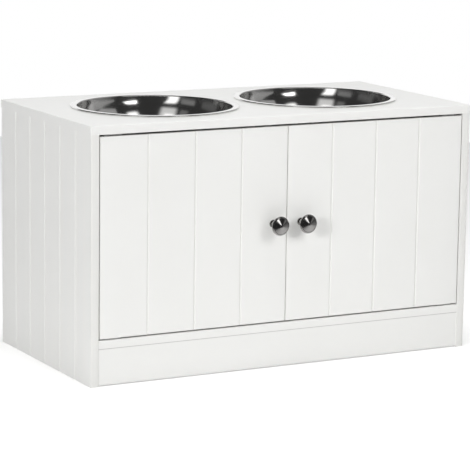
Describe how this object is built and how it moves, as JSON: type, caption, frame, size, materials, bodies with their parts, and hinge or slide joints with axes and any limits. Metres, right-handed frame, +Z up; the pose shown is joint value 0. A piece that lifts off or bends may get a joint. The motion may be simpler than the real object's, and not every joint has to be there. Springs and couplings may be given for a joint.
{
  "type": "elevated dog feeder",
  "caption": "Low white cabinet with plank-grooved doors and sides, whose top carries two lift-out steel bowls over a storage space closed by inset doors on pivot hinges.",
  "frame": {"origin": "middle of the footprint of the whole object, knobs included, on the floor", "axes": "+X to the right along the doors, +Y from the doors towards the back panel, +Z up"},
  "size_m": [0.6, 0.3356, 0.3582],
  "materials": {
    "painted_board": "white paint on fibreboard, smooth satin",
    "painted_hardboard": "white painted hardboard sheet, satin",
    "bowl_steel": "polished stainless steel with fine spun lines",
    "knob_nickel": "polished dark nickel plating",
    "hinge_zinc": "pressed steel with dull zinc plating",
    "fastener_zinc": "zinc plated",
    "plated_steel": "bright plated steel sheet",
    "catch_plastic": "moulded, slightly rough",
    "magnet": "pressed ferrite, dull black",
    "beech": "plain turned hardwood"
  },
  "bodies": {
    "cabinet": {"top_panel": "painted_board", "left_side_panel": "painted_board", "right_side_panel": "painted_board", "bottom_panel": "painted_board", "front_kickboard": "painted_board", "rear_kickboard": "painted_board", "back_panel": "painted_hardboard", "left_upper_hinge_plate": "hinge_zinc", "left_lower_hinge_plate": "hinge_zinc", "right_upper_hinge_plate": "hinge_zinc", "right_lower_hinge_plate": "hinge_zinc", "hinge_plate_screws": "fastener_zinc", "left_catch_housing": "catch_plastic", "right_catch_housing": "catch_plastic", "left_catch_magnet": "magnet", "right_catch_magnet": "magnet", "left_catch_poles": "plated_steel", "right_catch_poles": "plated_steel", "catch_screws": "fastener_zinc", "top_cam_bolts": "fastener_zinc", "top_cam_locks": "fastener_zinc", "bottom_cam_bolts": "fastener_zinc", "bottom_cam_locks": "fastener_zinc", "kickboard_cam_bolts": "fastener_zinc", "kickboard_cam_locks": "fastener_zinc", "top_dowels": "beech", "bottom_dowels": "beech", "kickboard_dowels": "beech", "back_panel_screws": "fastener_zinc"},
    "left_door": {"left_door": "painted_board", "left_knob": "knob_nickel", "left_knob_screw": "fastener_zinc", "left_upper_hinge_arm": "hinge_zinc", "left_lower_hinge_arm": "hinge_zinc", "left_hinge_arm_screws": "fastener_zinc", "left_strike_plate": "plated_steel", "left_strike_screw": "fastener_zinc"},
    "right_door": {"right_door": "painted_board", "right_knob": "knob_nickel", "right_knob_screw": "fastener_zinc", "right_upper_hinge_arm": "hinge_zinc", "right_lower_hinge_arm": "hinge_zinc", "right_hinge_arm_screws": "fastener_zinc", "right_strike_plate": "plated_steel", "right_strike_screw": "fastener_zinc"},
    "left_bowl": {"left_bowl": "bowl_steel"},
    "right_bowl": {"right_bowl": "bowl_steel"}
  },
  "joints": [
    {"name": "left_door_hinge", "type": "hinge", "parent": "cabinet", "child": "left_door", "pos_m": [-0.2735, -0.13525, 0.2], "axis": [0, 0, -1], "range_deg": [0, 120]},
    {"name": "right_door_hinge", "type": "hinge", "parent": "cabinet", "child": "right_door", "pos_m": [0.2735, -0.13525, 0.2], "axis": [0, 0, 1], "range_deg": [0, 120]},
    {"name": "left_bowl_lift", "type": "slide", "parent": "cabinet", "child": "left_bowl", "axis": [0, 0, 1], "range_m": [0, 0.12]},
    {"name": "right_bowl_lift", "type": "slide", "parent": "cabinet", "child": "right_bowl", "axis": [0, 0, 1], "range_m": [0, 0.12]}
  ]
}
